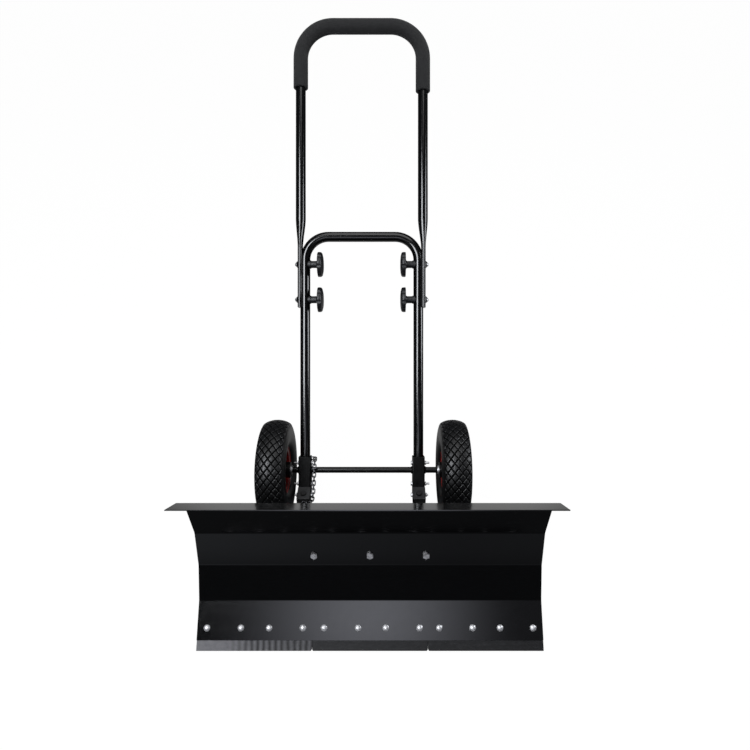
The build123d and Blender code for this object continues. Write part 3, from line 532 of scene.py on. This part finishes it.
def make_tyre(side, sign):
    turns = 800
    crown = resample(TYRE_OUTSIDE[:SHOULDER + 1], 0.95)
    wall = resample(TYRE_OUTSIDE[SHOULDER:], WALL_STEP)
    inside = resample(TYRE_INSIDE, INSIDE_STEP)
    half = np.vstack([crown, wall[1:], inside])
    arc = lengths_along(half)
    treaded = np.arange(len(half)) < len(crown) + TREAD_REACH

    # close the section: down one side, then its mirror image back up the other
    mirror = slice(-2, 0, -1)
    loop = np.vstack([half, half[mirror] * np.array([-1, 1])])
    across = np.concatenate([arc, -arc[mirror]])
    treaded = np.concatenate([treaded, treaded[mirror]])
    along = np.roll(loop, -1, 0) - np.roll(loop, 1, 0)
    along /= np.linalg.norm(along, axis=1)[:, None]
    outward = np.stack([-along[:, 1], along[:, 0]], 1)

    turn = np.arange(turns) * 2 * math.pi / turns
    groove = tread_pattern(turn, across) * treaded[None, :]
    out = np.abs(across)[None, :]
    lines = sum(hollow(out - place, LINE_HALF_WIDTH) * LINE_DEPTH for place in LINES_AT)
    depth = groove * GROOVE_DEPTH + lines * (out < arc[len(crown) + len(wall) - 3])
    section = loop[None, :, :] - outward[None, :, :] * depth[:, :, None]

    x = section[:, :, 0] / 1000 * sign + sign * WHEEL_X + WHEELS_MIDDLE_X
    radius = section[:, :, 1] / 1000
    y = radius * np.sin(turn)[:, None]
    z = radius * np.cos(turn)[:, None] + AXLE_Z
    verts = np.stack([x, y, z], 2).reshape(-1, 3)
    count = len(loop)
    i = np.arange(turns)[:, None]
    j = np.arange(count)[None, :]
    row, next_row = i * count, (i + 1) % turns * count
    next_j = (j + 1) % count
    corners = (row + j, row + next_j, next_row + next_j, next_row + j)
    faces = np.stack([corner.ravel() for corner in corners], 1)

    tyre = mesh_object(f"tyre_tread_{side}", verts.tolist(), faces.tolist())
    attribute = tyre.data.attributes.new("groove", "FLOAT", "POINT")
    attribute.data.foreach_set("value", np.ascontiguousarray(groove, dtype=np.float32).ravel())
    face_outward(tyre.data)
    stand_in(tyre, "tyre_rubber", rides=f"wheel_{side}", replaces=f"tyre_{side}")


make_blade()
make_tyre("left", -1)
make_tyre("right", 1)

# ------------------------------------------------------------------ rounded CAD edges
EDGE_WIDTHS = {
    "base_socket_left": 0.0008, "base_socket_right": 0.0008,
    "foot_bracket_left": 0.0008, "foot_bracket_right": 0.0008,
    "push_arm_left": 0.001, "push_arm_right": 0.001,
    "cross_plate": 0.0006, "sector_plate": 0.0006,
    "wear_strip_left": 0.0007, "wear_strip_middle": 0.0007, "wear_strip_right": 0.0007,
    "foam_grip": 0.0012,
}


def soften(piece, width, flat):
    """Rounds the sharp edges of a CAD piece; flat keeps its large faces evenly shaded."""
    weld = piece.modifiers.new("weld", "WELD")
    weld.merge_threshold = 0.00002 if flat else 0.00001
    bevel = piece.modifiers.new("edge", "BEVEL")
    bevel.width = width
    bevel.segments = 2
    bevel.limit_method = "ANGLE"
    bevel.angle_limit = math.radians(30)
    bevel.harden_normals = False
    if flat:
        normals = piece.modifiers.new("normals", "WEIGHTED_NORMAL")
        normals.mode = "FACE_AREA"
        normals.weight = 100
        normals.thresh = 0.01


for name, width in EDGE_WIDTHS.items():
    soften(nodes[name], width, flat=name.startswith("wear"))


# ------------------------------------------------------------------ floor and world
def square(name, size):
    """A flat square reaching size each way from its middle."""
    bm = bmesh.new()
    bmesh.ops.create_grid(bm, x_segments=1, y_segments=1, size=size)
    mesh = bpy.data.meshes.new(name)
    bm.to_mesh(mesh)
    bm.free()
    piece = bpy.data.objects.new(name, mesh)
    scene.collection.objects.link(piece)
    return piece


def make_floor():
    """White to the camera; to all other rays dim, with a glow only well in front."""
    floor = square("studio_floor", 30)
    floor.location = OFFSET + Vector((0, 0, -0.0006))
    material = bpy.data.materials.new("studio_floor")
    g = Graph(material)
    x, y, _ = g.split(g.object_place())
    sideways = g.ramp(x, span=(-0.55, 0.25), to=(0.27, 0.12))
    in_front = g.ramp(y, span=(-0.58, -0.80))
    least_glow = 0.03
    strength = g.calc("MULTIPLY_ADD", sideways, in_front, least_glow)
    matte = g.shader("ShaderNodeBsdfDiffuse", color=(0.05, 0.05, 0.05))
    bright = g.shader("ShaderNodeEmission", color=(1, 1, 1), Strength=0.985)
    dim = g.shader("ShaderNodeEmission", color=(0.86, 0.91, 1.0), Strength=strength)
    g.finish_with(g.camera_switch(unseen=g.add_shaders(matte, dim),
                                  seen=g.add_shaders(matte, bright)))
    set_material(floor, material)


def make_world():
    """A faint cool surround behind a plain backdrop that only the camera sees."""
    world = bpy.data.worlds.new("studio")
    scene.world = world
    g = Graph(world, "ShaderNodeOutputWorld")
    faint = g.shader("ShaderNodeBackground", color=(0.88, 0.93, 1.0), Strength=0.06)
    backdrop = g.node("ShaderNodeBackground", {"Strength": 1.0}).outputs[0]
    g.finish_with(g.camera_switch(unseen=faint, seen=backdrop))


make_floor()
make_world()

# ------------------------------------------------------------------ lights
HANDLE_FOOT = Vector((0, 0, AXLE_Z))
HANDLE_UP = Vector((0, math.sin(LEAN), math.cos(LEAN)))
HANDLE_FRONT = Vector((0, -math.cos(LEAN), math.sin(LEAN)))     # square to the handle
SOFTBOX_DISTANCE = 2.4


def aim(piece, centre, toward, axis):
    piece.location = Vector(centre) + OFFSET
    piece.rotation_mode = "QUATERNION"
    piece.rotation_quaternion = (Vector(toward) - Vector(centre)).to_track_quat(axis, "Y")


def area(name, centre, toward, width, height, energy):
    light = bpy.data.lights.new(name, "AREA")
    light.shape = "RECTANGLE"
    light.size, light.size_y = width, height
    light.energy = energy
    lamp = bpy.data.objects.new(name, light)
    aim(lamp, centre, toward, "-Z")
    scene.collection.objects.link(lamp)
    return lamp


def softbox(name, angle, along, width, height, energy):
    """A cool light facing the handle from an angle about it, so far up it."""
    turn = math.radians(angle)
    target = HANDLE_FOOT + HANDLE_UP * along
    outward = HANDLE_FRONT * math.cos(turn) + Vector((math.sin(turn), 0, 0))
    lamp = area(name, target + outward * SOFTBOX_DISTANCE, target, width, height, energy)
    lamp.data.color = (0.93, 0.96, 1.0)
    lamp.visible_diffuse = False


def card(name, centre, toward, width, height, strength, falloff, color, base):
    """A glowing panel; its fade to the base glow takes 1/falloff of each half width."""
    panel = square(name, 0.5)
    aim(panel, centre, toward, "Z")
    panel.scale = (width, height, 1)
    material = bpy.data.materials.new(name)
    g = Graph(material)
    fades = [g.ramp(g.calc("ABSOLUTE", place), span=(0.5, 0.5 - 0.5 / falloff),
                    interpolation_type="SMOOTHSTEP")
             for place in g.split(g.object_place())[:2]]
    glow = g.calc("MULTIPLY_ADD", g.calc("MULTIPLY", *fades), strength, base)
    g.finish_with(g.shader("ShaderNodeEmission", color=color, Strength=glow))
    set_material(panel, material)
    panel.visible_camera = False
    panel.visible_shadow = False
    return panel


softbox("softbox_left", angle=-24, along=0.83, width=0.95, height=1.58, energy=84)
softbox("softbox_right", angle=74, along=0.92, width=0.70, height=1.5, energy=36)
area("top", centre=(0.2, 0.3, 3.4), toward=(0, -0.05, 0.2), width=2.4, height=2.0, energy=34)
key = area("key", centre=(-1.5, -2.3, 2.5), toward=(0, -0.1, 0.3), width=1.3, height=1.3,
           energy=30)
key.visible_glossy = False
card("front_card", centre=(-0.02, -1.52, 1.02), toward=(-0.02, -0.36, 0.05), width=1.4,
     height=0.86, strength=2.8, falloff=1.0, color=(0.88, 0.90, 1.0), base=0.2)
card("front_fill", centre=(0.42, -1.62, 1.05), toward=(-0.02, -0.36, 0.05), width=1.3,
     height=0.6, strength=0.0, falloff=1.0, color=(0.88, 0.90, 1.0), base=0.2)
behind = card("floor_behind", centre=(0.03, 0.62, 0.004), toward=(0.03, 0.62, 1.0), width=1.9,
              height=1.2, strength=0.46, falloff=1.9, color=(1, 1, 1), base=0.0)
behind.visible_diffuse = False

# ------------------------------------------------------------------ camera
lens = bpy.data.cameras.new("camera")
lens.sensor_width = 36.0
lens.lens = 27.6
lens.shift_x = -0.01395
lens.clip_start = 0.05
lens.clip_end = 100
camera = bpy.data.objects.new("camera", lens)
scene.collection.objects.link(camera)
scene.camera = camera
camera.location = Vector((0.060, -1.0025, 1.2159)) + OFFSET
# it looks square onto the leaning handle
camera.rotation_euler = (math.radians(90.0 - LEAN_DEGREES), 0, 0)

scene.view_settings.view_transform = "Standard"
scene.view_settings.look = "None"
scene.view_settings.exposure = 0.0
scene.view_settings.gamma = 1.0
